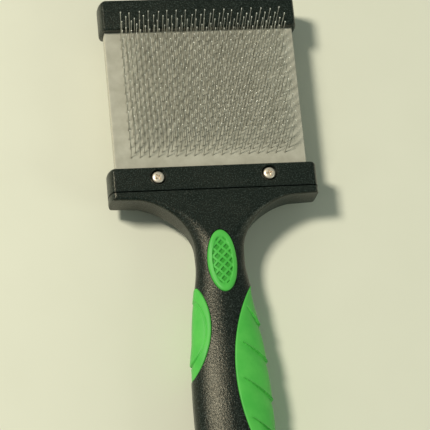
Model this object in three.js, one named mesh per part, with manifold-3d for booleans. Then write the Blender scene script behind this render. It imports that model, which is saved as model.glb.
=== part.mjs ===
// A double-sided flexible slicker brush: a moulded handle, two clamp bars that pinch a flexible
// blade with a field of wire pins on each face, and a two-shell cap on the blade's far end.
//
// Millimetres. X runs across the brush, Y along the handle towards the cap, and Z out of the
// front pin field. Inside the group, Y = 0 is the groove between the handle and the clamp bars,
// and Z = 0 is the plane that halves the brush's thickness. The group is shifted at the end so
// that the origin is under the middle of the brush as it lies on its rear pins.
import * as THREE from 'three';
import { mergeVertices } from 'three/addons/utils/BufferGeometryUtils.js';
import Module from 'manifold-3d';

const wasm = await Module();
wasm.setup();

// Driving dimensions.
const gap = 0.3;                    // between pieces that are cut to fit each other
const seam = 0.1;                   // between flat faces that rest on each other
const far = 60;                     // beyond every face, for cutting blocks

const crossWidth = 98.6;            // crosspiece and clamp bars
const crossThickness = 16;
const crossEndReach = 2.7;          // how far in from each end the faces start to round off
const grooveWidth = 0.6;
const barTop = 11.8;
const barCorner = 1.6;
const barEdge = 0.6;

const padWidth = 90;                // the flexible blade
const tongueHalf = 1.4;             // half thickness of the handle's tongue and of the blade's core
const backingThickness = 0.8;
const clothThickness = 1.1;
const clothFace = tongueHalf + backingThickness + clothThickness + 2 * seam;
const slotHalf = clothFace + seam;  // half thickness of the slot that takes the blade
const slotWidth = padWidth + 2 * gap;
const bladeStart = 1;
const bladeEnd = 88.2;
const tongueTop = 10.4;
const tongueWidth = 87;

const capWidth = 94.3;
const capThickness = 14.9;
const capEndReach = 2;
const capLip = 81.3;                // where the cap's lips meet the pin cloth
const capTop = 96.5;
const capCorner = 2.4;
const capLipCorner = 1.2;
const capEdge = 1;
const dowelSpacing = 52;
const dowelY = 85;
const dowelRadius = 1.6;
const dowelHalfLength = 5.2;

const screwSpacing = 52.4;
const screwY = 6.9;
const shankRadius = 1.5;
const headRadius = 2.8;
const headHeight = 1.9;
const headDome = 0.8;               // the rounded part of the head
const recessWidth = 0.8;            // the cross-shaped driver recess
const recessLength = 3.4;
const recessDepth = 1.1;
const counterboreRadius = 3.75;
const counterboreDepth = 2.2;
const nutAcrossFlats = 5.5;
const nutThickness = 2.3;

const pinHeight = 12;               // above the cloth
const kneeHeight = 5;
const kneeLean = 2.6;               // how far the knee and the tip lie towards the cap
const pinLean = 9.2;
const pinSway = 0.8;                // how far every tip lies to the right of its root
const pinFan = 1.7;                 // and how much further the outermost ones splay
const pinRadius = 0.45;
const pinRoot = 0.5;                // buried in the cloth
const pinColumns = 9;
const pinRows = 9;
const pinFieldWidth = 73;
const pinFieldStart = 18.3;
const pinFieldEnd = 77.7;

const neckHalf = 11.4;              // the handle's half width and half thickness, and where
const neckTop = -29;
const neckBottom = -34;
const bellyHalf = 18.7;
const bellyY = -108;
const bellyHalfThickness = 11.8;
const handleEnd = -155;
const inlayDepth = 1.8;             // soft grips, below the handle's surface
const inlayProud = 0.3;             // and above it
const thumbPadProud = 0.5;
const thumbPadY = -35.2;
const thumbPadHalfWidth = 6.9;
const thumbPadHalfLength = 15.2;
const thumbPadRim = 1.5;
const thumbPadRecess = 0.6;
const hangHoleY = -144;
const hangHoleRadius = 4;

// How finely curves are divided.
const arcSteps = 14;
const boreSides = 20;
const shaftSides = 16;

// Materials.
const blackPlastic = { color: 0x24282a, roughness: 0.45, metalness: 0 };
const greenRubber = { color: 0x5cc845, roughness: 0.6, metalness: 0 };
const greyCloth = { color: 0xb4b2a4, roughness: 0.85, metalness: 0 };
const whitePlastic = { color: 0xd8d6cc, roughness: 0.6, metalness: 0 };
const foamRubber = { color: 0xcfc8b4, roughness: 0.9, metalness: 0 };
const steel = { color: 0xb8b4ac, roughness: 0.3, metalness: 1 };

// Between three.js geometry and manifold-3d solids.
function solidOf(geometry) {
  const bare = geometry.clone();
  bare.deleteAttribute('normal');
  bare.deleteAttribute('uv');
  const merged = mergeVertices(bare, 1e-4);
  const mesh = new wasm.Mesh({
    numProp: 3,
    vertProperties: new Float32Array(merged.attributes.position.array),
    triVerts: new Uint32Array(merged.index.array),
  });
  return new wasm.Manifold(mesh);
}

function geometryOf(solid) {
  const mesh = solid.getMesh();
  const geometry = new THREE.BufferGeometry();
  geometry.setAttribute('position', new THREE.BufferAttribute(mesh.vertProperties, 3));
  geometry.setIndex(new THREE.BufferAttribute(mesh.triVerts, 1));
  geometry.computeVertexNormals();
  return geometry;
}

// Simple solids.
function block(low, high) {
  const size = high.map((value, axis) => value - low[axis]);
  const geometry = new THREE.BoxGeometry(...size);
  return solidOf(geometry.translate(...low.map((value, axis) => value + size[axis] / 2)));
}

function rod(radius, x, y, lowZ, highZ, sides = shaftSides) {
  const geometry = new THREE.CylinderGeometry(radius, radius, highZ - lowZ, sides);
  return solidOf(geometry.rotateX(Math.PI / 2).translate(x, y, (lowZ + highZ) / 2));
}

function prism(shape, lowZ, highZ) {
  const geometry = new THREE.ExtrudeGeometry(shape, {
    depth: highZ - lowZ,
    bevelEnabled: false,
    curveSegments: arcSteps,
  });
  return solidOf(geometry.translate(0, 0, lowZ));
}

// A slab with its own corner radius at each side in Y, and bevelled edges round both faces.
function roundedSlab(width, lowY, highY, thickness, lowRadius, highRadius, bevel) {
  const half = width / 2;
  const lowX = half - lowRadius;
  const highX = half - highRadius;
  const shape = new THREE.Shape();
  shape.moveTo(-half, lowY + lowRadius);
  shape.absarc(-lowX, lowY + lowRadius, lowRadius, Math.PI, 1.5 * Math.PI);
  shape.absarc(lowX, lowY + lowRadius, lowRadius, 1.5 * Math.PI, 2 * Math.PI);
  shape.absarc(highX, highY - highRadius, highRadius, 0, 0.5 * Math.PI);
  shape.absarc(-highX, highY - highRadius, highRadius, 0.5 * Math.PI, Math.PI);
  const geometry = new THREE.ExtrudeGeometry(shape, {
    depth: thickness - 2 * bevel,
    bevelThickness: bevel,
    bevelSize: bevel,
    bevelOffset: -bevel,
    bevelSegments: 2,
    curveSegments: 4,
  });
  return solidOf(geometry.translate(0, 0, bevel - thickness / 2));
}

// The half of a solid on one side of the middle plane. side is 1 at the front, -1 at the rear.
function halfOf(solid, side) {
  const low = side > 0 ? seam : -far;
  const high = side > 0 ? far : -seam;
  return solid.intersect(block([-far * 2, -far * 3, low], [far * 2, far * 3, high]));
}

// Rounds off both ends of a solid between two heights in Y: full width at the middle plane, and
// less by the reach at the faces.
function roundEnds(solid, width, thickness, reach, lowY, highY) {
  const flat = 0.5;
  const endX = width / 2 - reach;
  const endZ = thickness / 2 - flat;
  const beyond = thickness / 2 + 1;
  const shape = new THREE.Shape();
  shape.moveTo(endX, -beyond);
  shape.absellipse(endX, -flat, reach, endZ, -0.5 * Math.PI, 0);
  shape.absellipse(endX, flat, reach, endZ, 0, 0.5 * Math.PI);
  shape.lineTo(endX, beyond);
  shape.lineTo(-endX, beyond);
  shape.absellipse(-endX, flat, reach, endZ, 0.5 * Math.PI, Math.PI);
  shape.absellipse(-endX, -flat, reach, endZ, Math.PI, 1.5 * Math.PI);
  shape.lineTo(-endX, -beyond);
  const geometry = new THREE.ExtrudeGeometry(shape, {
    depth: highY - lowY,
    bevelEnabled: false,
    curveSegments: 6,
  });
  const kept = solidOf(geometry.rotateX(Math.PI / 2).translate(0, highY, 0));
  const around = block([-far * 2, lowY + seam, -far], [far * 2, highY - seam, far]);
  return solid.subtract(around.subtract(kept));
}

// The handle's outline is symmetric: half its width, and half its thickness, at each Y.
function handleSideOutline() {
  const half = crossWidth / 2;
  const corner = 2.2;
  const shoulderX = 36;
  const shoulderY = -4.1;
  const path = new THREE.Path();
  path.moveTo(half, -grooveWidth / 2);
  path.lineTo(half, -1.6);
  path.quadraticCurveTo(half, -3.5, half - corner, -3.6);
  path.lineTo(shoulderX, shoulderY);
  path.bezierCurveTo(25, -6, neckHalf, -16, neckHalf, neckTop);
  path.lineTo(neckHalf, neckBottom);
  path.bezierCurveTo(neckHalf, -46, bellyHalf, -60, bellyHalf, bellyY);
  path.bezierCurveTo(bellyHalf, -140, 13, handleEnd, 0, handleEnd);
  return path.getPoints(9);
}

function handleFaceOutline() {
  const half = crossThickness / 2;
  const path = new THREE.Path();
  path.moveTo(half, -grooveWidth / 2);
  path.lineTo(half, -30);
  path.bezierCurveTo(half + 0.4, -55, bellyHalfThickness, -65, bellyHalfThickness, -105);
  path.bezierCurveTo(bellyHalfThickness, -140, 9, handleEnd, 0, handleEnd);
  return path.getPoints(24);
}

function widthAt(outline, y) {
  const next = outline.findIndex((point) => point.y <= y);
  if (next <= 0) {
    return outline[0].x;
  }
  const above = outline[next - 1];
  const below = outline[next];
  return THREE.MathUtils.mapLinear(y, above.y, below.y, above.x, below.x);
}

// One cross-section of the handle: a rectangle with elliptical corners, square at the crosspiece
// and almost an ellipse at the grip.
function handleSection(halfWidth, halfThickness, y) {
  const crossCorner = 1.6;
  const gripCorner = 0.88;
  const cornerSteps = 4;
  const squareTo = 5;
  const roundFrom = 36;
  const blend = THREE.MathUtils.smoothstep(-y, squareTo, roundFrom);
  const wanted = (half) => THREE.MathUtils.lerp(crossCorner, gripCorner * half, blend);
  const cornerX = Math.min(halfWidth, wanted(halfWidth));
  const cornerZ = Math.min(halfThickness, wanted(halfThickness));
  const points = [];
  for (const [signX, signZ, start] of [[1, 1, 0], [-1, 1, 0.5], [-1, -1, 1], [1, -1, 1.5]]) {
    for (let step = 0; step <= cornerSteps; step += 1) {
      const angle = (start + (0.5 * step) / cornerSteps) * Math.PI;
      const x = signX * (halfWidth - cornerX) + cornerX * Math.cos(angle);
      const z = signZ * (halfThickness - cornerZ) + cornerZ * Math.sin(angle);
      points.push([x, y, z]);
    }
  }
  return points;
}

// The handle's body from its outlines, grown by an offset on every side.
function handleBody(offset) {
  const smallest = 0.4;
  const side = handleSideOutline();
  const face = handleFaceOutline();
  const rings = side.slice(0, -1).map((point) => handleSection(
    Math.max(point.x + offset, smallest),
    Math.max(widthAt(face, point.y) + offset, smallest),
    point.y,
  ));
  const count = rings[0].length;
  const positions = rings.flat(2);
  const ringCentre = (ring) => [0, ring[0][1], 0];
  positions.push(...ringCentre(rings[0]), 0, handleEnd - offset, 0);
  const first = rings.length * count;
  const last = first + 1;
  const index = [];
  for (let ring = 0; ring < rings.length - 1; ring += 1) {
    for (let point = 0; point < count; point += 1) {
      const a = ring * count + point;
      const b = ring * count + (point + 1) % count;
      index.push(a, b, a + count, b, b + count, a + count);
    }
  }
  for (let point = 0; point < count; point += 1) {
    const next = (point + 1) % count;
    index.push(first, next, point);
    index.push(last, (rings.length - 1) * count + point, (rings.length - 1) * count + next);
  }
  const geometry = new THREE.BufferGeometry();
  geometry.setAttribute('position', new THREE.Float32BufferAttribute(positions, 3));
  geometry.setIndex(index);
  return solidOf(geometry);
}

// Outlines of the soft inlays, seen from the front. grow widens an outline for its pocket.
function palmGripOutline(grow) {
  const apex = [-8.3, -63.5];
  const upperRadius = 35;
  const lowerRadius = 41;
  const shape = new THREE.Shape();
  shape.absarc(apex[0] - upperRadius, apex[1], upperRadius + grow, 0.3 * Math.PI, 0, true);
  shape.absarc(apex[0] - lowerRadius, apex[1], lowerRadius + grow, 0, -0.29 * Math.PI, true);
  return shape;
}

function fingerGripOutline(grow) {
  const apex = [0.3, -90];
  const radius = 87.5;
  const shape = new THREE.Shape();
  shape.absarc(apex[0] + radius, apex[1], radius + grow, 0.76 * Math.PI, 1.24 * Math.PI);
  return shape;
}

function thumbPadOutline(grow) {
  const shape = new THREE.Shape();
  shape.absellipse(0, thumbPadY, thumbPadHalfWidth + grow, thumbPadHalfLength + grow, 0, 2 * Math.PI);
  return shape;
}

// A soft inlay lies on the handle's surface inside its outline, and its pocket is a gap larger.
function inlay(outline, lowZ, highZ, proud) {
  const footprint = prism(outline(0), lowZ, highZ);
  return handleBody(proud).intersect(footprint).subtract(handleBody(-inlayDepth));
}

function inlayPocket(outline, lowZ, highZ) {
  const footprint = prism(outline(gap), lowZ, highZ);
  return footprint.subtract(handleBody(-inlayDepth - gap));
}

function thumbPad(side) {
  const [lowZ, highZ] = side > 0 ? [0, far] : [-far, 0];
  const inside = prism(thumbPadOutline(-thumbPadRim), lowZ, highZ);
  const recess = inside.subtract(handleBody(-thumbPadRecess));
  return inlay(thumbPadOutline, lowZ, highZ, thumbPadProud).subtract(recess);
}

function handleCore() {
  const halfTongue = tongueWidth / 2;
  let core = roundEnds(handleBody(0), crossWidth, crossThickness, crossEndReach, neckTop, 1);
  core = core.add(block([-halfTongue, -3, -tongueHalf], [halfTongue, tongueTop, tongueHalf]));
  core = core.subtract(inlayPocket(palmGripOutline, -far, far));
  core = core.subtract(inlayPocket(fingerGripOutline, -far, far));
  core = core.subtract(inlayPocket(thumbPadOutline, 0, far));
  core = core.subtract(inlayPocket(thumbPadOutline, -far, 0));
  core = core.subtract(rod(hangHoleRadius, 0, hangHoleY, -far, far, boreSides));
  return drillForScrews(core);
}

// Through holes for the clamp screws, and for the cap dowels.
function drillForScrews(solid) {
  let drilled = solid;
  for (const x of [-screwSpacing / 2, screwSpacing / 2]) {
    drilled = drilled.subtract(rod(shankRadius + gap, x, screwY, -far, far));
  }
  return drilled;
}

function drillForDowels(solid, halfDepth) {
  let drilled = solid;
  for (const x of [-dowelSpacing / 2, dowelSpacing / 2]) {
    drilled = drilled.subtract(rod(dowelRadius + gap, x, dowelY, -halfDepth, halfDepth));
  }
  return drilled;
}

// The blade's layers.
function bladeLayer(lowY, lowZ, highZ) {
  const sheet = block([-padWidth / 2, lowY, lowZ], [padWidth / 2, bladeEnd, highZ]);
  return drillForDowels(drillForScrews(sheet), far);
}

function flexCore() {
  return bladeLayer(tongueTop + gap, -tongueHalf, tongueHalf);
}

function backingPlate(side) {
  const inner = side * (tongueHalf + seam);
  const outer = inner + side * backingThickness;
  return bladeLayer(bladeStart, Math.min(inner, outer), Math.max(inner, outer));
}

// A wire pin with one bend, as a three-sided bar through its root, its knee and its tip.
function wirePin(x, y, side) {
  const splay = pinSway + pinFan * (x / (pinFieldWidth / 2));
  const centres = [
    [x, y - pinRoot, clothFace - pinRoot],
    [x + splay * (kneeHeight / pinHeight), y + kneeLean, clothFace + kneeHeight],
    [x + splay, y + pinLean, clothFace + pinHeight],
  ];
  const corners = [0, 1, 2].map((corner) => (corner * 2 * Math.PI) / 3 - Math.PI / 2);
  const positions = centres.flatMap(([cx, cy, cz]) => corners.flatMap((angle) => [
    cx + pinRadius * Math.cos(angle),
    cy + pinRadius * Math.sin(angle),
    side * cz,
  ]));
  const index = side > 0 ? [0, 2, 1, 6, 7, 8] : [0, 1, 2, 6, 8, 7];
  for (const ring of [0, 3]) {
    for (let corner = 0; corner < 3; corner += 1) {
      const a = ring + corner;
      const b = ring + (corner + 1) % 3;
      const quad = side > 0 ? [a, b, a + 3, b, b + 3, a + 3] : [a, a + 3, b, b, a + 3, b + 3];
      index.push(...quad);
    }
  }
  const geometry = new THREE.BufferGeometry();
  geometry.setAttribute('position', new THREE.Float32BufferAttribute(positions, 3));
  geometry.setIndex(index);
  return solidOf(geometry);
}

function pinCloth(side) {
  const inner = side * (clothFace - clothThickness);
  const outer = side * clothFace;
  const pins = [];
  const columnPitch = pinFieldWidth / (pinColumns - 0.5);
  const rowPitch = (pinFieldEnd - pinFieldStart) / (pinRows - 1);
  for (let row = 0; row < pinRows; row += 1) {
    for (let column = 0; column < pinColumns; column += 1) {
      const x = -pinFieldWidth / 2 + (column + 0.5 * (row % 2)) * columnPitch;
      pins.push(wirePin(x, pinFieldStart + row * rowPitch, side));
    }
  }
  const cloth = bladeLayer(bladeStart, Math.min(inner, outer), Math.max(inner, outer));
  return cloth.add(wasm.Manifold.union(pins));
}

// The clamp bars: channels that meet at the brush's sides and pinch the blade and the tongue.
// Their edges are square at the groove.
function clampBar(side) {
  const slab = roundedSlab(crossWidth, -barTop, barTop, crossThickness, barCorner, barCorner, barEdge);
  const ended = roundEnds(slab, crossWidth, crossThickness, crossEndReach, -far, far);
  const belowGroove = block([-far, -far, -far], [far, grooveWidth / 2, far]);
  const slot = block([-slotWidth / 2, -far, -slotHalf], [slotWidth / 2, far, slotHalf]);
  const bar = halfOf(ended.subtract(belowGroove).subtract(slot), side);
  return drillForScrews(bar);
}

function frontClampBar() {
  const floor = crossThickness / 2 - counterboreDepth;
  let bar = clampBar(1);
  for (const x of [-screwSpacing / 2, screwSpacing / 2]) {
    bar = bar.subtract(rod(counterboreRadius, x, screwY, floor, far, boreSides));
  }
  return bar;
}

function nutPrism(x, acrossFlats, lowZ, highZ) {
  return rod(acrossFlats / Math.sqrt(3), x, screwY, lowZ, highZ, 6);
}

function rearClampBar() {
  const floor = -crossThickness / 2 + nutThickness + gap;
  let bar = clampBar(-1);
  for (const x of [-screwSpacing / 2, screwSpacing / 2]) {
    bar = bar.subtract(nutPrism(x, nutAcrossFlats + 2 * gap, -far, floor));
  }
  return bar;
}

function clampNut(x) {
  const outer = -crossThickness / 2 + seam;
  const nut = nutPrism(x, nutAcrossFlats, outer, outer + nutThickness);
  return nut.subtract(rod(shankRadius + gap, x, screwY, -far, far));
}

// A cross-recessed screw: a domed head in the counterbore and a shank that ends in the nut.
function clampScrew(x) {
  const seat = crossThickness / 2 - counterboreDepth + seam;
  const tip = -crossThickness / 2 + 3 * seam;
  const crown = seat + headHeight;
  const profile = [
    new THREE.Vector2(0, tip),
    new THREE.Vector2(shankRadius, tip),
    new THREE.Vector2(shankRadius, seat),
    new THREE.Vector2(headRadius, seat),
    new THREE.Vector2(headRadius, crown - headDome),
    new THREE.Vector2(0.75 * headRadius, crown - 0.25 * headDome),
    new THREE.Vector2(0, crown),
  ];
  const lathe = new THREE.LatheGeometry(profile, shaftSides);
  const screw = solidOf(lathe.rotateX(Math.PI / 2).translate(x, screwY, 0));
  const wide = recessLength / 2;
  const narrow = recessWidth / 2;
  const floor = crown - recessDepth;
  const slotAcross = block([x - wide, screwY - narrow, floor], [x + wide, screwY + narrow, far]);
  const slotAlong = block([x - narrow, screwY - wide, floor], [x + narrow, screwY + wide, far]);
  return screw.subtract(slotAcross.add(slotAlong));
}

// The end cap: two shells that close over the blade's end, locked by two dowels.
function capShell(side) {
  const slotDepth = bladeEnd + 4 * seam;
  const blindDepth = dowelHalfLength + 2 * seam;
  let cap = roundedSlab(capWidth, capLip, capTop, capThickness, capLipCorner, capCorner, capEdge);
  cap = roundEnds(cap, capWidth, capThickness, capEndReach, 0, far * 2);
  cap = cap.subtract(block([-slotWidth / 2, 0, -slotHalf], [slotWidth / 2, slotDepth, slotHalf]));
  return drillForDowels(halfOf(cap, side), blindDepth);
}

function capDowel(x) {
  return rod(dowelRadius, x, dowelY, -dowelHalfLength, dowelHalfLength);
}

// The assembly.
const brush = new THREE.Group();

function addPiece(name, solid, finish) {
  const mesh = new THREE.Mesh(geometryOf(solid), new THREE.MeshStandardMaterial(finish));
  mesh.name = name;
  brush.add(mesh);
}

addPiece('handle_core', handleCore(), blackPlastic);
addPiece('front_thumb_pad', thumbPad(1), greenRubber);
addPiece('rear_thumb_pad', thumbPad(-1), greenRubber);
addPiece('palm_grip', inlay(palmGripOutline, -far, far, inlayProud), greenRubber);
addPiece('finger_grip', inlay(fingerGripOutline, -far, far, inlayProud), greenRubber);
addPiece('front_clamp_bar', frontClampBar(), blackPlastic);
addPiece('rear_clamp_bar', rearClampBar(), blackPlastic);
addPiece('left_clamp_screw', clampScrew(-screwSpacing / 2), steel);
addPiece('right_clamp_screw', clampScrew(screwSpacing / 2), steel);
addPiece('left_clamp_nut', clampNut(-screwSpacing / 2), steel);
addPiece('right_clamp_nut', clampNut(screwSpacing / 2), steel);
addPiece('flex_core', flexCore(), foamRubber);
addPiece('front_backing_plate', backingPlate(1), whitePlastic);
addPiece('rear_backing_plate', backingPlate(-1), whitePlastic);
addPiece('front_pin_cloth', pinCloth(1), greyCloth);
addPiece('rear_pin_cloth', pinCloth(-1), greyCloth);
addPiece('front_cap_shell', capShell(1), blackPlastic);
addPiece('rear_cap_shell', capShell(-1), blackPlastic);
addPiece('left_cap_dowel', capDowel(-dowelSpacing / 2), whitePlastic);
addPiece('right_cap_dowel', capDowel(dowelSpacing / 2), whitePlastic);

brush.position.set(0, -(capTop + handleEnd) / 2, clothFace + pinHeight);
brush.updateMatrixWorld(true);

export default brush;
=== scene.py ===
import math
import random

import bpy
import numpy as np
from mathutils import Matrix, Vector


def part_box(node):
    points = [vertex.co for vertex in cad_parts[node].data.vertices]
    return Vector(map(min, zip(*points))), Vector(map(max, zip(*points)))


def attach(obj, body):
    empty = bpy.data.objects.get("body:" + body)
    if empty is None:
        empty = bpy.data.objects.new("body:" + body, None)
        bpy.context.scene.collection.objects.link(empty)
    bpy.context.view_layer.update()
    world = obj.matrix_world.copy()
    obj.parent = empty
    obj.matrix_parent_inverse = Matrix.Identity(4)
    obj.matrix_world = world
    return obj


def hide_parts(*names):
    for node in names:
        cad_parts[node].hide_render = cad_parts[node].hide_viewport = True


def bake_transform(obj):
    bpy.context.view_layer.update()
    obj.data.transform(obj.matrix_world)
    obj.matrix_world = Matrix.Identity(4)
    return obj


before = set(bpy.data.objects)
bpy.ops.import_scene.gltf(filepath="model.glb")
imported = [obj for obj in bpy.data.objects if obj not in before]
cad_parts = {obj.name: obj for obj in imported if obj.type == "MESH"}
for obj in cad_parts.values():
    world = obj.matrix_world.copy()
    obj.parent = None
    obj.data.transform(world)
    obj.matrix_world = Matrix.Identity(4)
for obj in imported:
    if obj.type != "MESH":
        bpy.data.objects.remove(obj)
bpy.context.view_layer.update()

# Places come from the frame. Shapes are worked out in millimetres from the groove between the
# handle and the clamp bars (Y = 0) and the plane that halves the brush's thickness (Z = 0).
MM = 0.001
GROOVE_WIDTH = 0.6
SEAM = 0.1                          # between flat faces that rest on each other
FAR = 60                            # beyond every face, for cutters
CUTTER_RISE = 3                     # how far a pocket's cutter stands out of the handle
POCKET_GAP = 0.22                   # between a soft inlay's rim and its pocket

bar_low, bar_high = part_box("front_clamp_bar")
cap_low, cap_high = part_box("front_cap_shell")
cloth_low, cloth_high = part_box("front_pin_cloth")
core_low, core_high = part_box("flex_core")
plate_low, plate_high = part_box("front_backing_plate")
handle_low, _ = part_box("handle_core")
screw_low, screw_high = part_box("right_clamp_screw")
nut_low, nut_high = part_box("right_clamp_nut")

ORIGIN_Y = bar_low.y / MM - GROOVE_WIDTH / 2
ORIGIN_Z = (core_low.z + core_high.z) / 2 / MM

CROSS_HALF = bar_high.x / MM
CROSS_HALF_THICKNESS = bar_high.z / MM - ORIGIN_Z
BAR_TOP = bar_high.y / MM - ORIGIN_Y
BAR_BOTTOM = GROOVE_WIDTH / 2
CAP_HALF = cap_high.x / MM
CAP_HALF_THICKNESS = cap_high.z / MM - ORIGIN_Z
CAP_TOP = cap_high.y / MM - ORIGIN_Y
CAP_LIP = cap_low.y / MM - ORIGIN_Y
PAD_HALF = core_high.x / MM
BLADE_START = plate_low.y / MM - ORIGIN_Y
BLADE_END = plate_high.y / MM - ORIGIN_Y
CORE_START = core_low.y / MM - ORIGIN_Y
CORE_HALF_THICKNESS = core_high.z / MM - ORIGIN_Z
PLATE_INNER = plate_low.z / MM - ORIGIN_Z
PLATE_OUTER = plate_high.z / MM - ORIGIN_Z
CLOTH_INNER = cloth_low.z / MM - ORIGIN_Z
CLOTH_OUTER = CLOTH_INNER + 1.1
PIN_TOP = cloth_high.z / MM - ORIGIN_Z
HANDLE_END = handle_low.y / MM - ORIGIN_Y
SLOT_HALF = PAD_HALF + 0.3
SLOT_HALF_THICKNESS = CLOTH_OUTER + SEAM
SCREW_X = (screw_low.x + screw_high.x) / 2 / MM
SCREW_Y = (screw_low.y + screw_high.y) / 2 / MM - ORIGIN_Y
HEAD_RADIUS = (screw_high.x - screw_low.x) / 2 / MM
HEAD_TOP = screw_high.z / MM - ORIGIN_Z
COUNTERBORE_RADIUS = 3.75
SHANK_RADIUS = 1.5
SCREW_HOLE_RADIUS = 1.8
COUNTERBORE_FLOOR = CROSS_HALF_THICKNESS - 2.2
NUT_FLATS = (nut_high.x - nut_low.x) / MM
NUT_OUTER = nut_low.z / MM - ORIGIN_Z
NUT_INNER = nut_high.z / MM - ORIGIN_Z

CROSS_END_REACH = 2.7               # how far in from each end the faces start to round off
CAP_END_REACH = 2
MIDDLE_FLAT = 0.5                   # half height of the flat band round both ends
NECK_HALF = 11.4
BELLY_HALF = 18.7
BELLY_Y = -108
HANG_HOLE_Y = -144
HANG_HOLE_RADIUS = 4
TONGUE_HALF = 43.5
TONGUE_TOP = 10.4

PIN_COLUMNS = 18
PIN_ROWS = 27
PIN_PITCH = 4.28
PIN_FIRST_ROW = 18.3
PIN_LAST_ROW = 77.7
PIN_RADIUS = 0.17
PIN_TIP_RADIUS = 0.26
KNEE_HEIGHT = 5
KNEE_LEAN = 2.6
PIN_LEAN = 9.2
PIN_SWAY = 0.8
PIN_FAN = 1.7

THUMB_Y = -35.2
THUMB_HALF_WIDTH = 6.9
THUMB_HALF_LENGTH = 15.2
THUMB_FLOOR_HALF_WIDTH = 4.8
THUMB_FLOOR_HALF_LENGTH = 12
FINGER_RIDGES = (40, 65.1, 82.7, 101.2, 118.6, 139, 160)
FINGER_SPACING = 20


# ---- Meshes ---------------------------------------------------------------------------------

def in_frame(points):
    """Millimetres about the groove to metres in the row frame."""
    moved = np.array(points, float) + (0, ORIGIN_Y, ORIGIN_Z)
    return moved * MM


def shade(mesh, angle):
    """Smooth shading, with edges sharper than the angle left crisp."""
    mesh.polygons.foreach_set("use_smooth", [True] * len(mesh.polygons))
    mesh.set_sharp_from_angle(angle=math.radians(angle))
    mesh.update()


def piece(name, points, faces, finish, sharp=40):
    mesh = bpy.data.meshes.new(name)
    mesh.from_pydata(in_frame(points).tolist(), [], faces)
    mesh.update()
    mesh.materials.append(finish)
    shade(mesh, sharp)
    obj = bpy.data.objects.new(name, mesh)
    bpy.context.scene.collection.objects.link(obj)
    return obj


def grid_faces(rows, columns, wrapped, start=0):
    """Quads between the rows of a grid of points. If wrapped, the last column meets the first."""
    faces = []
    last = columns if wrapped else columns - 1
    for row in range(rows - 1):
        for column in range(last):
            a = start + row * columns + column
            b = start + row * columns + (column + 1) % columns
            faces.append((a, b, b + columns, a + columns))
    return faces


def evaluated_mesh(obj):
    depsgraph = bpy.context.evaluated_depsgraph_get()
    return bpy.data.meshes.new_from_object(obj.evaluated_get(depsgraph))


def settle_modifiers(obj, sharp=40):
    """Turns what the modifiers show into the object's own mesh."""
    old = obj.data
    obj.data = evaluated_mesh(obj)
    obj.modifiers.clear()
    obj.data.name = obj.name
    bpy.data.meshes.remove(old)
    shade(obj.data, sharp)


def carve(obj, cutters, sharp=40):
    """Cuts the cutters out of the object and removes them."""
    for cutter in cutters:
        modifier = obj.modifiers.new("cut", "BOOLEAN")
        modifier.operation = "DIFFERENCE"
        modifier.solver = "EXACT"
        modifier.object = cutter
    settle_modifiers(obj, sharp)
    for cutter in cutters:
        bpy.data.objects.remove(cutter)


def round_edges(obj, width, segments, angle, sharp=40):
    """Bevels the edges that are sharper than the angle."""
    modifier = obj.modifiers.new("edges", "BEVEL")
    modifier.width = width * MM
    modifier.segments = segments
    modifier.limit_method = "ANGLE"
    modifier.angle_limit = math.radians(angle)
    settle_modifiers(obj, sharp)


def box_piece(name, low, high, finish):
    x0, y0, z0 = low
    x1, y1, z1 = high
    points = [(x, y, z) for z in (z0, z1) for y in (y0, y1) for x in (x0, x1)]
    faces = [(0, 2, 3, 1), (4, 5, 7, 6), (0, 1, 5, 4), (2, 6, 7, 3), (0, 4, 6, 2), (1, 3, 7, 5)]
    return piece(name, points, faces, finish)


def turned_piece(name, profile, x, y, finish, sides=48):
    """A closed profile of (radius, z), from the axis and back to it, turned about Z at (x, y)."""
    rims = profile[1:-1]
    points = []
    for radius, z in rims:
        for side in range(sides):
            angle = 2 * math.pi * side / sides
            points.append((x + radius * math.cos(angle), y + radius * math.sin(angle), z))
    faces = grid_faces(len(rims), sides, True)
    bottom = len(points)
    points.append((x, y, profile[0][1]))
    points.append((x, y, profile[-1][1]))
    last = (len(rims) - 1) * sides
    for side in range(sides):
        following = (side + 1) % sides
        faces.append((bottom, following, side))
        faces.append((bottom + 1, last + side, last + following))
    return piece(name, points, faces, finish, 30)


# ---- Materials ------------------------------------------------------------------------------

def new_material(name, color, roughness, metallic=0.0):
    """A principled material, with its node tree, shader and object coordinates."""
    material = bpy.data.materials.new(name)
    material.use_nodes = True
    nodes = material.node_tree.nodes
    shader = nodes["Principled BSDF"]
    shader.inputs["Base Color"].default_value = (*color, 1)
    shader.inputs["Roughness"].default_value = roughness
    shader.inputs["Metallic"].default_value = metallic
    coordinates = nodes.new("ShaderNodeTexCoord")
    return material, material.node_tree, shader, coordinates.outputs["Object"]


def noise(tree, vector, size_mm, detail=3.0, roughness=0.55):
    """Noise whose lumps are about size_mm across."""
    node = tree.nodes.new("ShaderNodeTexNoise")
    node.inputs["Scale"].default_value = 1 / (size_mm * MM)
    node.inputs["Detail"].default_value = detail
    node.inputs["Roughness"].default_value = roughness
    tree.links.new(vector, node.inputs["Vector"])
    return node.outputs["Fac"]


def cells(tree, vector, size_mm):
    node = tree.nodes.new("ShaderNodeTexVoronoi")
    node.inputs["Scale"].default_value = 1 / (size_mm * MM)
    tree.links.new(vector, node.inputs["Vector"])
    return node.outputs["Distance"]


def attribute(tree, name):
    node = tree.nodes.new("ShaderNodeAttribute")
    node.attribute_name = name
    return node.outputs["Fac"]


def spread(tree, value, low, high, to_low, to_high):
    """Maps a value from one range to another, held at the ends."""
    node = tree.nodes.new("ShaderNodeMapRange")
    node.inputs["From Min"].default_value = low
    node.inputs["From Max"].default_value = high
    node.inputs["To Min"].default_value = to_low
    node.inputs["To Max"].default_value = to_high
    tree.links.new(value, node.inputs["Value"])
    return node.outputs["Result"]


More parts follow.
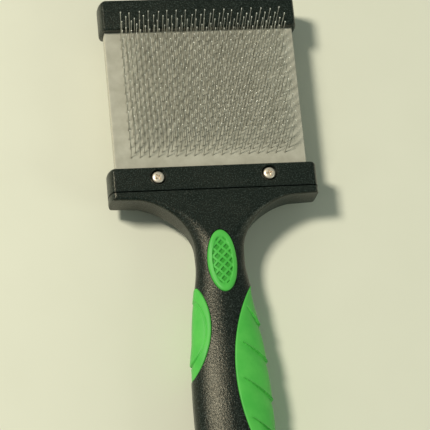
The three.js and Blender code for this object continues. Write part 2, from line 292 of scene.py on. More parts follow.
def mixed_color(tree, share, first, second):
    """Mixes two colours, each a tuple or a node's output, by a share from 0 to 1."""
    share_socket, first_socket, second_socket, result_socket = 0, 6, 7, 2
    node = tree.nodes.new("ShaderNodeMix")
    node.data_type = "RGBA"
    for key, color in ((first_socket, first), (second_socket, second)):
        if isinstance(color, tuple):
            node.inputs[key].default_value = (*color, 1)
        else:
            tree.links.new(color, node.inputs[key])
    tree.links.new(share, node.inputs[share_socket])
    return node.outputs[result_socket]


def bump(tree, height, strength, depth_mm, below=None):
    node = tree.nodes.new("ShaderNodeBump")
    node.inputs["Strength"].default_value = strength
    node.inputs["Distance"].default_value = depth_mm * MM
    tree.links.new(height, node.inputs["Height"])
    if below is not None:
        tree.links.new(below, node.inputs["Normal"])
    return node.outputs["Normal"]


def grained_plastic():
    """Black moulded plastic with a spark-eroded grain at two scales, pale flecks painted in as glints
    of the grain, and handling marks.
    """
    material, tree, shader, place = new_material("black_grained_plastic", (0.009, 0.011, 0.01), 0.4)
    shader.inputs["Specular IOR Level"].default_value = 0.4
    shader.inputs["Specular Tint"].default_value = (1, 0.93, 0.76, 1)
    fine = noise(tree, place, 0.48, 1.0, 0.5)
    coarse = noise(tree, place, 1.0, 2.0, 0.5)
    handling = noise(tree, place, 14, 4.0)
    # Painted glints: pale flecks in the base colour stand in for the glints of the grain.
    fleck = spread(tree, fine, 0.54, 0.66, 0, 1)
    tree.links.new(mixed_color(tree, fleck, (0.003, 0.0075, 0.0065), (0.046, 0.062, 0.058)),
                   shader.inputs["Base Color"])
    tree.links.new(spread(tree, handling, 0.35, 0.65, 0.29, 0.35), shader.inputs["Roughness"])
    lumps = bump(tree, coarse, 0.8, 0.13)
    tree.links.new(bump(tree, fine, 1.0, 0.13, lumps), shader.inputs["Normal"])
    return material


def soft_rubber():
    """Green soft overmould: satin, with painted shade in its recesses and a fine even grain."""
    material, tree, shader, place = new_material("green_soft_rubber", (0.09, 0.5, 0.07), 0.48)
    grain = noise(tree, place, 0.3, 2.0)
    patches = noise(tree, place, 9, 3.0)
    even = mixed_color(tree, spread(tree, patches, 0.35, 0.65, 0, 1),
                       (0.075, 0.5, 0.07), (0.1, 0.56, 0.085))
    # Painted shade: a darker green where a point is marked as sunk in a recess.
    painted_recess_shade = mixed_color(tree, attribute(tree, "recess"), even, (0.043, 0.35, 0.037))
    tree.links.new(painted_recess_shade, shader.inputs["Base Color"])
    tree.links.new(spread(tree, patches, 0.3, 0.7, 0.42, 0.56), shader.inputs["Roughness"])
    tree.links.new(bump(tree, grain, 0.3, 0.03), shader.inputs["Normal"])
    shader.inputs["Sheen Weight"].default_value = 0.05
    shader.inputs["Specular IOR Level"].default_value = 0.35
    return material


def rubber_cloth():
    """Warm light grey rubber-faced cloth: a faint weave, mottling and a painted shadow at each pin's
    root.
    """
    material, tree, shader, place = new_material("grey_rubber_cloth", (0.5, 0.48, 0.41), 0.75)
    mottle = noise(tree, place, 6, 4.0)
    weave = tree.nodes.new("ShaderNodeTexWave")
    weave.inputs["Scale"].default_value = 500
    weave.inputs["Distortion"].default_value = 1.5
    tree.links.new(place, weave.inputs["Vector"])
    even = mixed_color(tree, spread(tree, mottle, 0.35, 0.65, 0, 1),
                       (0.42, 0.405, 0.335), (0.5, 0.485, 0.41))
    # Painted shadow: dark grey-brown round each pin's root.
    painted_root_shadow = mixed_color(tree, attribute(tree, "recess"), even, (0.1, 0.094, 0.078))
    tree.links.new(painted_root_shadow, shader.inputs["Base Color"])
    fibre = bump(tree, noise(tree, place, 0.35, 3.0), 0.25, 0.06)
    tree.links.new(bump(tree, weave.outputs["Fac"], 0.15, 0.04, fibre), shader.inputs["Normal"])
    return material


def pin_steel():
    """Drawn steel wire, a little uneven in tone, with tips painted bright: partly wear, partly a
    painted glint.
    """
    material, tree, shader, place = new_material("pin_steel", (0.6, 0.58, 0.53), 0.32, 0.9)
    tone = noise(tree, place, 2.5, 2.0)
    shaft = mixed_color(tree, spread(tree, tone, 0.35, 0.65, 0, 1),
                        (0.36, 0.35, 0.31), (0.72, 0.7, 0.63))
    # Painted glint: the tips, marked 0, are painted near white; the shafts, marked 1, take the uneven
    # tone.
    tree.links.new(mixed_color(tree, attribute(tree, "recess"), (0.97, 0.95, 0.88), shaft),
                   shader.inputs["Base Color"])
    tree.links.new(spread(tree, tone, 0.3, 0.7, 0.26, 0.42), shader.inputs["Roughness"])
    tree.links.new(bump(tree, noise(tree, place, 0.2, 2.0), 0.1, 0.01), shader.inputs["Normal"])
    return material


def screw_nickel():
    """Matt nickel plate with a warm, slightly pink cast and fine scuffs."""
    material, tree, shader, place = new_material("screw_nickel", (0.9, 0.8, 0.68), 0.4, 0.7)
    scuffs = noise(tree, place, 0.5, 5.0, 0.7)
    scuffed = mixed_color(tree, spread(tree, scuffs, 0.45, 0.75, 0, 1),
                          (0.92, 0.82, 0.7), (0.62, 0.53, 0.44))
    tree.links.new(scuffed, shader.inputs["Base Color"])
    tree.links.new(spread(tree, scuffs, 0.3, 0.7, 0.34, 0.5), shader.inputs["Roughness"])
    tree.links.new(bump(tree, scuffs, 0.15, 0.03), shader.inputs["Normal"])
    return material


def plate_plastic():
    """Off-white flexible plastic sheet."""
    material, tree, shader, place = new_material("white_sheet_plastic", (0.62, 0.6, 0.54), 0.5)
    streaks = noise(tree, place, 3, 3.0)
    streaked = mixed_color(tree, streaks, (0.56, 0.54, 0.48), (0.68, 0.66, 0.6))
    tree.links.new(streaked, shader.inputs["Base Color"])
    tree.links.new(spread(tree, streaks, 0.3, 0.7, 0.42, 0.6), shader.inputs["Roughness"])
    tree.links.new(bump(tree, noise(tree, place, 0.4, 2.0), 0.2, 0.03), shader.inputs["Normal"])
    return material


def foam_rubber():
    """Cream closed-cell rubber with open pores on its cut edge, painted darker inside as painted shade.
    """
    material, tree, shader, place = new_material("cream_foam_rubber", (0.6, 0.56, 0.46), 0.85)
    pores = cells(tree, place, 0.5)
    # Painted shade: each pore is painted darker than the foam round it.
    painted_pore_shade = mixed_color(tree, spread(tree, pores, 0.1, 0.6, 0, 1),
                         (0.42, 0.39, 0.31), (0.64, 0.6, 0.49))
    tree.links.new(painted_pore_shade, shader.inputs["Base Color"])
    tree.links.new(spread(tree, pores, 0.1, 0.6, 0.95, 0.75), shader.inputs["Roughness"])
    tree.links.new(bump(tree, pores, 0.6, 0.1), shader.inputs["Normal"])
    return material


BLACK = grained_plastic()
GREEN = soft_rubber()
CLOTH = rubber_cloth()
STEEL = pin_steel()
NICKEL = screw_nickel()
WHITE = plate_plastic()
FOAM = foam_rubber()


# ---- The handle's surface -------------------------------------------------------------------

def step_up(value, low, high):
    """A smooth step from 0 to 1."""
    share = np.clip((value - low) / (high - low), 0, 1)
    return share * share * (3 - 2 * share)


def bezier(controls, share):
    """A point on the Bezier curve of any number of control points."""
    points = [Vector(control) for control in controls]
    while len(points) > 1:
        points = [a.lerp(b, share) for a, b in zip(points, points[1:])]
    return points[0]


def outline(curves):
    """Points (half size, Y) along joined Bezier curves, each with its own step in millimetres."""
    found = [Vector(curves[0][0][0])]
    for controls, step in curves:
        length = sum((Vector(b) - Vector(a)).length for a, b in zip(controls, controls[1:]))
        count = max(2, round(length / step))
        found += [bezier(controls, index / count) for index in range(1, count + 1)]
    return np.array([tuple(point) for point in found])


def side_outline():
    """Half the handle's width against Y."""
    corner_start, corner_end, corner = -1.6, -3.6, 2.2
    shoulder = (36, -4.1)
    return outline([
        ([(CROSS_HALF, -BAR_BOTTOM), (CROSS_HALF, corner_start)], 0.2),
        ([(CROSS_HALF, corner_start), (CROSS_HALF, -3.5), (CROSS_HALF - corner, corner_end)], 0.2),
        ([(CROSS_HALF - corner, corner_end), shoulder], 0.6),
        ([shoulder, (25, -6), (NECK_HALF, -16), (NECK_HALF, -29)], 0.5),
        ([(NECK_HALF, -29), (NECK_HALF, -34)], 0.8),
        ([(NECK_HALF, -34), (NECK_HALF, -46), (BELLY_HALF, -60), (BELLY_HALF, BELLY_Y)], 0.8),
        ([(BELLY_HALF, BELLY_Y), (BELLY_HALF, -140), (13, HANDLE_END), (0, HANDLE_END)], 0.5),
    ])


def face_outline():
    """Half the handle's thickness along its middle, against Y."""
    return outline([
        ([(CROSS_HALF_THICKNESS, -BAR_BOTTOM), (CROSS_HALF_THICKNESS, -30)], 2),
        ([(CROSS_HALF_THICKNESS, -30), (8.4, -55), (11.8, -65), (11.8, -105)], 1),
        ([(11.8, -105), (11.8, -132), (10.6, -150), (9, HANDLE_END)], 1),
    ])


SIDE = side_outline()
FACE = face_outline()


def size_at(points, y):
    """The outline's half size at a height Y."""
    return float(np.interp(-y, -points[:, 1], points[:, 0]))


def edge_distance(x, y):
    """Distance from points to the handle's outline, seen from the front."""
    start, along = SIDE[:-1], np.diff(SIDE, axis=0)
    square = np.maximum((along ** 2).sum(1), 1e-12)
    offset = np.stack([x, np.full_like(x, y)], 1)[:, None, :] - start[None]
    share = np.clip((offset * along).sum(2) / square, 0, 1)
    nearest = offset - share[:, :, None] * along
    return np.sqrt((nearest ** 2).sum(2)).min(1)


def end_reach(reach, half_thickness, height):
    """How far a rounded end is inside its full width, at a height over the middle plane."""
    share = np.clip((abs(height) - MIDDLE_FLAT) / (half_thickness - MIDDLE_FLAT), 0, 1)
    return reach * (1 - math.sqrt(1 - share ** 2))


def end_height(x):
    """Height of the crosspiece's rounded ends over the middle plane, and no limit between them."""
    share = 1 - np.clip((CROSS_HALF - np.abs(x)) / CROSS_END_REACH, 0, 1)
    rounded = MIDDLE_FLAT + (CROSS_HALF_THICKNESS - MIDDLE_FLAT) * np.sqrt(1 - share ** 2)
    return np.where(share > 0, rounded, FAR)


def face_height(x, y):
    """Height of the handle's front face over the middle plane, at points x of one cross-section."""
    square_to, round_from, cross_edge = 5, 36, 1.5
    blend = float(step_up(-y, square_to, round_from))
    width = size_at(SIDE, max(y, BELLY_Y))
    thickness = size_at(FACE, y)
    across = cross_edge + blend * (0.92 * width - cross_edge)
    drop = cross_edge + blend * (0.86 * thickness - cross_edge)
    power = 2 - 0.4 * blend
    inward = 1 - np.clip(edge_distance(np.abs(x), y) / across, 0, 1)
    height = thickness - drop * (1 - np.sqrt(np.maximum(1 - inward ** power, 0)))
    return np.minimum(height, end_height(x))


def quarter_section(y, steps=30, wall_steps=4):
    """From the middle of the front face to the side of the handle, as points (x, z)."""
    half = size_at(SIDE, y)
    x = half * np.sin(np.linspace(0, 0.5 * math.pi, steps + 1))
    z = face_height(x, y)
    wall = np.linspace(z[-1], 0, wall_steps + 1)[1:]
    return np.vstack([np.stack([x, z], 1), np.stack([np.full(wall_steps, half), wall], 1)])


def whole_section(y):
    """One closed ring of the handle's surface, clockwise from the middle of the front face."""
    quarter = quarter_section(y)
    back = quarter[-2::-1]
    ring = np.vstack([quarter, back * (1, -1), quarter[1:] * (-1, -1), back[:-1] * (-1, 1)])
    return [(x, y, z) for x, z in ring]


def handle_surface():
    """Rings of the handle's body, with a flat end towards the clamp and a small one at the far end."""
    rings = [whole_section(y) for half, y in SIDE if half > 0.3]
    count = len(rings[0])
    points = [point for ring in rings for point in ring]
    faces = [tuple(reversed(face)) for face in grid_faces(len(rings), count, True)]
    faces.append(tuple(range(count)))
    faces.append(tuple(reversed(range((len(rings) - 1) * count, len(rings) * count))))
    return points, faces


# ---- Soft inlays ----------------------------------------------------------------------------

def palm_edge(y):
    """How far the palm grip's inner edge is from the middle: two arcs that meet at its apex."""
    apex, apex_y = 8.3, -63.5
    radius = 35 if y > apex_y else 41
    return arc_edge(y, apex, apex_y, radius)


def palm_panel_edge(y):
    """The same for the panel inside the palm grip."""
    return arc_edge(y, 10.8, -65.5, 25)


def finger_edge(y):
    """The same for the finger grip."""
    apex, apex_y = 0.3, -90
    radius = 83 if y > apex_y else 87.5
    return arc_edge(y, apex, apex_y, radius)


def arc_edge(y, apex, apex_y, radius):
    """An arc that comes nearest the middle at its apex."""
    rise = min(abs(y - apex_y), radius)
    return apex + radius - math.sqrt(radius ** 2 - rise ** 2)


def grip_rows(edge, count):
    """Heights Y where the grip has some width, closer together towards its tips."""
    tried = np.arange(-40, HANDLE_END + 2, -0.05)
    inside = [y for y in tried if edge(y) < size_at(SIDE, y) - 0.35]
    middle, reach = (inside[0] + inside[-1]) / 2, (inside[0] - inside[-1]) / 2
    return middle + reach * np.sin(np.linspace(0.5, -0.5, count) * math.pi)


def half_section(y):
    """From the middle of the front face round one side to the middle of the rear face."""
    quarter = quarter_section(y)
    return np.vstack([quarter, quarter[-2::-1] * (1, -1)])


def grip_row(y, inner, side, columns, lift):
    """Points across one row of a grip, lifted off the handle by lift(along, length, y, x)."""
    section = half_section(y)
    steps = np.sqrt((np.diff(section, axis=0) ** 2).sum(1))
    travel = np.concatenate([[0], np.cumsum(steps)])
    front = section[:len(section) // 2 + 1]
    start = float(np.interp(inner, front[:, 0], travel[:len(front)]))
    length = travel[-1] - 2 * start
    along = np.linspace(0, length, columns)
    x = np.interp(start + along, travel, section[:, 0])
    z = np.interp(start + along, travel, section[:, 1])
    tangent = np.stack([np.gradient(x, along), np.gradient(z, along)], 1)
    tangent /= np.linalg.norm(tangent, axis=1)[:, None]
    height = lift(along, length, y, x)
    moved_x = x - tangent[:, 1] * height
    moved_z = z + tangent[:, 0] * height
    return [(side * a, y, b) for a, b in zip(moved_x, moved_z)]


def grip_shell(name, edge, side, lift, rows, columns, depth, finish, grow=0.0):
    """A soft grip as a closed shell that wraps one side of the handle, from front to rear."""
    heights = grip_rows(lambda y: edge(y) - grow, rows)

    def sunk(along, length, y, x):
        return np.full_like(along, -depth * min(1, 0.4 + length / 25))

    outer = [grip_row(y, edge(y) - grow, side, columns, lift) for y in heights]
    inner = [grip_row(y, edge(y) - grow, side, columns, sunk) for y in heights]
    points = [point for row in outer + inner for point in row]
    shift = rows * columns
    faces = grid_faces(rows, columns, False)
    faces += [tuple(index + shift for index in reversed(face)) for face in faces]
    rim = border(rows, columns)
    for a, b in zip(rim, rim[1:] + rim[:1]):
        faces.append((b, a, a + shift, b + shift))
    if side > 0:
        faces = [tuple(reversed(face)) for face in faces]
    return piece(name, points, faces, finish, 60)


def border(rows, columns):
    """Indices round a grid's border, in order."""
    first = list(range(columns))
    right = [row * columns + columns - 1 for row in range(1, rows)]
    last = [(rows - 1) * columns + column for column in range(columns - 2, -1, -1)]
    left = [row * columns for row in range(rows - 2, 0, -1)]
    return first + right + last + left


def rim_shape(distance, proud, sink, radius):
    """A rounded edge: sunk below the surface at distance 0 and proud of it beyond the radius."""
    inward = 1 - np.clip(distance / radius, 0, 1)
    return -sink + (sink + proud) * np.sqrt(np.maximum(1 - inward ** 2, 0))


def palm_lift(along, length, y, x):
    """A rim round a panel, which swells towards its lower end, with a fine groove between them."""
    distance = np.minimum(along, length - along)
    inside = x - palm_panel_edge(y)
    panel = np.interp(-y, [53, 62, 72, 81, 84], [0.05, -0.15, -0.4, 0.4, 0.45])
    rim = 0.35 - 0.6 * step_up(-y, 76, 86)
    groove = 0.55 * np.exp(-(inside / 0.4) ** 2)
    return rim_shape(distance, 0, 0.85, 0.8) + rim + (panel - rim) * step_up(inside, -0.2, 0.5) - groove


def finger_lift(along, length, y, x):
    """Overlapping plates: each ends in a fine bead and steps down where the next begins."""
    trough_length, bead_height, bead_width, waist_depth = 3.5, 0.5, 0.6, 1.25
    slope = 0.6 + 0.7 * step_up(y, -70, -58)
    level = slope * (size_at(SIDE, y) - x) - y
    plate = np.interp(level, FINGER_RIDGES, range(len(FINGER_RIDGES)))
    after = (plate - np.floor(plate)) * FINGER_SPACING
    before = FINGER_SPACING - after
    distance = np.minimum(along, length - along)
    waist = waist_depth * step_up(2 * distance / length, 0.05, 0.9)
    deepest = 0.4 + 0.55 * step_up(distance, 5, 11)
    trough = deepest * np.exp(-after / trough_length) * step_up(before, 0, 0.3)
    bead = bead_height * np.exp(-(before / bead_width) ** 2)
    return rim_shape(distance, 0.15, 0.65, 0.8) - waist + step_up(distance, 1, 4.5) * (bead - trough)


def grip_cutter_lift(along, length, y, x):
    return np.full_like(along, CUTTER_RISE)


def thumb_surface(x, y):
    return np.array([face_height(np.array([a]), b)[0] for a, b in zip(x, y)])


def thumb_shell(name, side, top, depth, grow, finish):
    """The oval thumb pad on one face: polar rows from its middle to its edge, and a flat back."""
    rings, spokes = 64, 200
    radius = np.linspace(0, 1, rings + 1)[1:]
    angle = np.linspace(0, 2 * math.pi, spokes, endpoint=False)
    share, turn = np.meshgrid(radius, angle, indexing="ij")
    x = (share * np.cos(turn) * (THUMB_HALF_WIDTH + grow)).ravel()
    y = (share * np.sin(turn) * (THUMB_HALF_LENGTH + grow)).ravel() + THUMB_Y
    base = thumb_surface(x, y)
    edge = (1 - share.ravel()) * THUMB_HALF_WIDTH
    z = base + top(edge, x, y)
    middle = (np.array([0.0]), np.array([THUMB_Y]))
    middle_z = float(thumb_surface(*middle)[0])
    crown = middle_z + float(top(np.array([THUMB_HALF_WIDTH]), *middle)[0])
    back = middle_z - depth
    points = [(a, b, side * c) for a, b, c in zip(x, y, z)]
    points += [(a, b, side * back) for a, b, _ in points[-spokes:]]
    points.append((0, THUMB_Y, side * crown))
    points.append((0, THUMB_Y, side * back))
    centre, back_centre = len(points) - 2, len(points) - 1
    faces = grid_faces(rings + 1, spokes, True)
    for spoke in range(spokes):
        following = (spoke + 1) % spokes
        faces.append((centre, following, spoke))
        faces.append((back_centre, rings * spokes + spoke, rings * spokes + following))
    faces = [tuple(reversed(face)) for face in faces] if side > 0 else faces
    return piece(name, points, faces, finish, 60)


def thumb_lift(edge, x, y):
    """A rounded rim round a recess with a cross-hatch of raised ribs at 45 degrees."""
    pitch, rib, floor_depth, rib_share = 3.1, 0.34, 1.1, 0.62
    y = y - THUMB_Y
    inner = np.sqrt((x / THUMB_FLOOR_HALF_WIDTH) ** 2 + (y / THUMB_FLOOR_HALF_LENGTH) ** 2)
    floor = floor_depth * step_up((1 - inner) * THUMB_FLOOR_HALF_WIDTH, -0.1, 0.5)
    first = np.abs(((x + y) / math.sqrt(2) / pitch) % 1 - 0.5)
    second = np.abs(((x - y) / math.sqrt(2) / pitch) % 1 - 0.5)
    ribs = step_up(rib / 2 + 0.05 - np.minimum(first, second), 0, 0.07)
    return rim_shape(edge, 0.55, 0.6, 0.9) - floor * (1 - rib_share * ribs)


def thumb_cutter_lift(edge, x, y):
    return np.full_like(edge, CUTTER_RISE)


def mark_painted_light(obj, value):
    """Stores a share from 0 to 1 at each point in the recess attribute, which the materials use for
    painted shade, painted shadow and painted glints.
    """
    stored = obj.data.attributes.new("recess", "FLOAT", "POINT")
    stored.data.foreach_set("value", np.clip(value, 0, 1).astype(np.float32))


def local_points(obj):
    """A piece's points, back in millimetres about the groove."""
    found = np.zeros(len(obj.data.vertices) * 3)
    obj.data.vertices.foreach_get("co", found)
    return found.reshape(-1, 3) / MM - (0, ORIGIN_Y, ORIGIN_Z)


def thumb_pad(name, side):
    pad = thumb_shell(name, side, thumb_lift, 1.8, 0, GREEN)
    points = local_points(pad)
    base = thumb_surface(points[:, 0], points[:, 1])
    # Painted shade: the deeper a point lies below the handle's surface, the darker the green.
    mark_painted_light(pad, (base + 0.1 - side * points[:, 2]) / 0.6)
    return pad


def handle():
    points, faces = handle_surface()
    body = piece("handle_body", points, faces, BLACK)
    grip_pockets = [
        grip_shell("cut_palm", palm_edge, -1, grip_cutter_lift, 90, 60, 2.1, BLACK, POCKET_GAP),
        grip_shell("cut_finger", finger_edge, 1, grip_cutter_lift, 110, 60, 3.0, BLACK, POCKET_GAP),
        thumb_shell("cut_front", 1, thumb_cutter_lift, 2.0, POCKET_GAP, BLACK),
        thumb_shell("cut_rear", -1, thumb_cutter_lift, 2.0, POCKET_GAP, BLACK),
    ]
    carve(body, grip_pockets + [hang_hole_cutter()])
    return body


def hang_hole_cutter():
    """A waisted cutter, so that the hole's rims are softly flared."""
    rim = float(face_height(np.array([0.0]), HANG_HOLE_Y)[0])
    profile = [(0, -rim - 2)]
    for z in np.linspace(-rim - 2, rim + 2, 25):
        flare = max(0, abs(z) - (rim - 1.6))
        profile.append((HANG_HOLE_RADIUS + 0.35 * flare ** 1.6, z))
    profile.append((0, rim + 2))
    return turned_piece("cut_hang_hole", profile, 0, HANG_HOLE_Y, BLACK)


def tongue():
    """The thin tongue on the handle that the clamp bars close on."""
    inner = box_piece("handle_tongue", (-TONGUE_HALF, -1, -CORE_HALF_THICKNESS),
                      (TONGUE_HALF, TONGUE_TOP, CORE_HALF_THICKNESS), BLACK)
    carve(inner, [rod_cutter(x, SCREW_Y, SCREW_HOLE_RADIUS) for x in (-SCREW_X, SCREW_X)])
    return inner


# ---- Clamp bars and cap ---------------------------------------------------------------------

def rod_cutter(x, y, radius, low=-FAR, high=FAR, sides=48):
    profile = [(0, low), (radius, low), (radius, high), (0, high)]
    return turned_piece("cut_rod", profile, x, y, BLACK, sides)


def slab_ring(half, low, high, low_corner, high_corner, z):
    """A closed outline with its own corner radius at each side in Y, anticlockwise at a height z."""
    steps = 8
    corners = [(1, high, high_corner), (-1, high, high_corner),
               (-1, low, low_corner), (1, low, low_corner)]
    ring = []
    for quarter, (side, y, radius) in enumerate(corners):
        centre_x = side * (half - radius)
        centre_y = y - radius if quarter < 2 else y + radius
        for step in range(steps + 1):
            angle = (quarter + step / steps) * math.pi / 2
            ring.append((centre_x + radius * math.cos(angle), centre_y + radius * math.sin(angle), z))
    return ring


def rounded_slab(name, half, low, high, half_thickness, corners, edges, reach, finish):
    """A slab with rounded ends. Corners and edges give the radii at its low and its high side in Y."""
    layers = 36
    rings = []
    for layer in range(layers + 1):
        z = half_thickness * math.sin((layer / layers - 0.5) * math.pi)
        low_in, high_in = (edge_inset(edge, half_thickness - abs(z)) for edge in edges)
        end_in = end_reach(reach, half_thickness, z)
        rings.append(slab_ring(half - end_in, low + low_in, high - high_in, *corners, z))
    count = len(rings[0])
    faces = grid_faces(len(rings), count, True)
    faces.append(tuple(reversed(range(count))))
    faces.append(tuple(range(layers * count, (layers + 1) * count)))
    return piece(name, [point for ring in rings for point in ring], faces, finish)


def edge_inset(radius, depth):
    """How far a rounded edge is drawn in, at a depth below the face."""
    if depth >= radius:
        return 0
    return radius - math.sqrt(radius ** 2 - (radius - depth) ** 2)


def half_space(side):
    """A block that removes what is on the far side of the middle plane, and the seam."""
    low, high = (-FAR, SEAM) if side > 0 else (-SEAM, FAR)
    return box_piece("cut_half", (-2 * FAR, -FAR, low), (2 * FAR, 2 * FAR, high), BLACK)


def clamp_bar(name, side):
    """Half of the clamp: a bar with a slot for the blade, and recesses for the screws or the nuts."""
    square, corner, edge = 0.05, 1.6, 1.2
    bar = rounded_slab(name, CROSS_HALF, BAR_BOTTOM, BAR_TOP, CROSS_HALF_THICKNESS, (square, corner),
                       (square, edge), CROSS_END_REACH, BLACK)
    cutters = [half_space(side)]
    cutters.append(box_piece("cut_slot", (-SLOT_HALF, -FAR, -SLOT_HALF_THICKNESS),
                             (SLOT_HALF, FAR, SLOT_HALF_THICKNESS), BLACK))
    for x in (-SCREW_X, SCREW_X):
        cutters.append(rod_cutter(x, SCREW_Y, SCREW_HOLE_RADIUS))
        cutters.append(counterbore(x) if side > 0 else nut_pocket(x))
    carve(bar, cutters)
    return bar


def counterbore(x):
    """The screw head's recess, with a small chamfer at its mouth."""
    face = CROSS_HALF_THICKNESS
    radius = COUNTERBORE_RADIUS
    profile = [(0, COUNTERBORE_FLOOR), (radius, COUNTERBORE_FLOOR), (radius, face - 0.3),
               (radius + 1.3, face + 1), (0, face + 1)]
    return turned_piece("cut_counterbore", profile, x, SCREW_Y, BLACK, 64)


def nut_pocket(x):
    radius = (NUT_FLATS + 0.5) / math.sqrt(3)
    floor = NUT_INNER + 0.2
    return rod_cutter(x, SCREW_Y, radius, -FAR, floor, 6)


def cap_shell(name, side):
    """Half of the end cap, with a slot for the blade's end."""
    lip_corner, corner, edge = 1.2, 2.4, 1.1
    cap = rounded_slab(name, CAP_HALF, CAP_LIP, CAP_TOP, CAP_HALF_THICKNESS, (lip_corner, corner),
                       (edge, edge), CAP_END_REACH, BLACK)
    slot = box_piece("cut_slot", (-SLOT_HALF, 0, -SLOT_HALF_THICKNESS),
                     (SLOT_HALF, BLADE_END + 0.4, SLOT_HALF_THICKNESS), BLACK)
    carve(cap, [half_space(side), slot])
    return cap


def cross_recess(x, turn):
    """A tapered cross-shaped driver recess, as two crossed cutters turned about the screw."""
    half_long, half_short = 1.9, 0.42
    levels = ((HEAD_TOP - 1.3, 0.4, 0.75), (HEAD_TOP + 0.3, 1.1, 1.1))
    cutters = []
    for angle in (turn, turn + math.pi / 2):
        points = []
        for z, long_share, short_share in levels:
            for along, across in ((-1, -1), (1, -1), (1, 1), (-1, 1)):
                a = along * half_long * long_share
                b = across * half_short * short_share
                points.append((x + a * math.cos(angle) - b * math.sin(angle),
                               SCREW_Y + a * math.sin(angle) + b * math.cos(angle), z))
        faces = [(3, 2, 1, 0), (4, 5, 6, 7)]
        faces += [(side, (side + 1) % 4, (side + 1) % 4 + 4, side + 4) for side in range(4)]
        cutters.append(piece("cut_cross", points, faces, NICKEL))
    return cutters


def clamp_screw(name, x, turn):
    """A pan-head screw: a low dome with a rounded rim, on a shank that reaches the nut."""
    seat = COUNTERBORE_FLOOR + SEAM
    tip = -CROSS_HALF_THICKNESS + 3 * SEAM
    dome = 0.85
    profile = [(0, tip), (SHANK_RADIUS - 0.2, tip), (SHANK_RADIUS, tip + 0.3), (SHANK_RADIUS, seat),
               (HEAD_RADIUS - 0.1, seat), (HEAD_RADIUS, seat + 0.2)]
    for angle in np.linspace(0, math.pi / 2, 10):
        profile.append((HEAD_RADIUS * math.cos(angle) ** 0.5, HEAD_TOP - dome * (1 - math.sin(angle))))
    profile[-1] = (0, HEAD_TOP)
    screw = turned_piece(name, profile, x, SCREW_Y, NICKEL, 64)
    carve(screw, cross_recess(x, math.radians(turn)), 35)
    return screw


def clamp_nut(name, x):
    radius = NUT_FLATS / math.sqrt(3)
    nut = turned_piece(name, [(0, NUT_OUTER), (radius, NUT_OUTER), (radius, NUT_INNER), (0, NUT_INNER)],
                       x, SCREW_Y, NICKEL, 6)
    carve(nut, [rod_cutter(x, SCREW_Y, SCREW_HOLE_RADIUS)])
    round_edges(nut, 0.25, 3, 50, 35)
    return nut


# ---- The blade ------------------------------------------------------------------------------

def sheet_piece(name, start, low, high, finish, edge=0.15, step=0.9, cell=6.0):
    """A flat layer of the blade, fine enough along Y to bend smoothly, with rounded edges."""
    half = PAD_HALF
    rows = round((BLADE_END - start) / step) + 1
    columns = round(2 * half / cell) + 1
    x_values = np.linspace(-half, half, columns)
    y_values = np.linspace(start, BLADE_END, rows)
    points = [(x, y, z) for z in (high, low) for y in y_values for x in x_values]
    faces = grid_faces(rows, columns, False)
    shift = rows * columns
    faces += [tuple(index + shift for index in reversed(face)) for face in faces]
    rim = border(rows, columns)
    for a, b in zip(rim, rim[1:] + rim[:1]):
        faces.append((b, a, a + shift, b + shift))
    made = piece(name, points, faces, finish)
    round_edges(made, edge, 2, 60)
    return made


def pin_places():
    """Where the pins stand: staggered rows, centred on the pad."""
    places = []
    for row in range(PIN_ROWS):
        y = PIN_FIRST_ROW + (PIN_LAST_ROW - PIN_FIRST_ROW) * row / (PIN_ROWS - 1)
        stagger = PIN_PITCH / 4 * (1 if row % 2 else -1)
        for column in range(PIN_COLUMNS):
            places.append(((column - (PIN_COLUMNS - 1) / 2) * PIN_PITCH + stagger, y))
    return places


def pin_cloth(name, side):
    """The rubber-faced cloth, dimpled where each pin goes in, with a painted shadow marked round each
    root.
    """
    inner, outer = sorted((side * CLOTH_INNER, side * CLOTH_OUTER))
    cloth = sheet_piece(name, BLADE_START, inner, outer, CLOTH, 0.3, 0.5, 0.5)
    points = local_points(cloth)
    column = (points[:, 0] / PIN_PITCH) + (PIN_COLUMNS - 1) / 2
    row_pitch = (PIN_LAST_ROW - PIN_FIRST_ROW) / (PIN_ROWS - 1)
    row = np.clip(np.round((points[:, 1] - PIN_FIRST_ROW) / row_pitch), 0, PIN_ROWS - 1)
    shift = np.where(row % 2 == 1, 0.25, -0.25)
    nearest = np.clip(np.round(column - shift), 0, PIN_COLUMNS - 1) + shift
    away_x = (column - nearest) * PIN_PITCH
    away_y = points[:, 1] - PIN_FIRST_ROW - row * row_pitch
    root_radius, shadow, dimple_depth = 0.45, 0.8, 0.15
    root = np.exp(-(away_x ** 2 + away_y ** 2) / root_radius ** 2)
    root *= np.abs(points[:, 2]) > CLOTH_OUTER - 0.05
    # The painted shadow round each root, on the outer face only.
    mark_painted_light(cloth, shadow * root)
    points[:, 2] -= side * dimple_depth * root
    cloth.data.vertices.foreach_set("co", in_frame(points).ravel())
    cloth.data.update()
    return cloth


def pin_line(x, y, side, dice):
    """One wire from its root in the cloth to its tip, with a rounded knee."""
    splay = PIN_SWAY + PIN_FAN * x / (PIN_PITCH * PIN_COLUMNS / 2) + dice.gauss(0, 0.28)
    lean = PIN_LEAN + dice.gauss(0, 0.3)
    tip_height = PIN_TOP - CLOTH_OUTER - PIN_TIP_RADIUS - abs(dice.gauss(0, 0.12))
    root = Vector((x, y - 0.4, CLOTH_OUTER - 0.7))
    knee = Vector((x + splay * 0.35, y + KNEE_LEAN + dice.gauss(0, 0.12), CLOTH_OUTER + KNEE_HEIGHT))
    tip = Vector((x + splay, y + lean, CLOTH_OUTER + tip_height))
    before = knee.lerp(root, 0.16)
    after = knee.lerp(tip, 0.12)
    bend = [before, bezier([before, knee, after], 0.33), bezier([before, knee, after], 0.67), after]
    end = [knee.lerp(tip, share) for share in (0.55, 0.91, 0.96, 1)]
    return [(point.x, point.y, side * point.z) for point in [root, *bend, *end]]


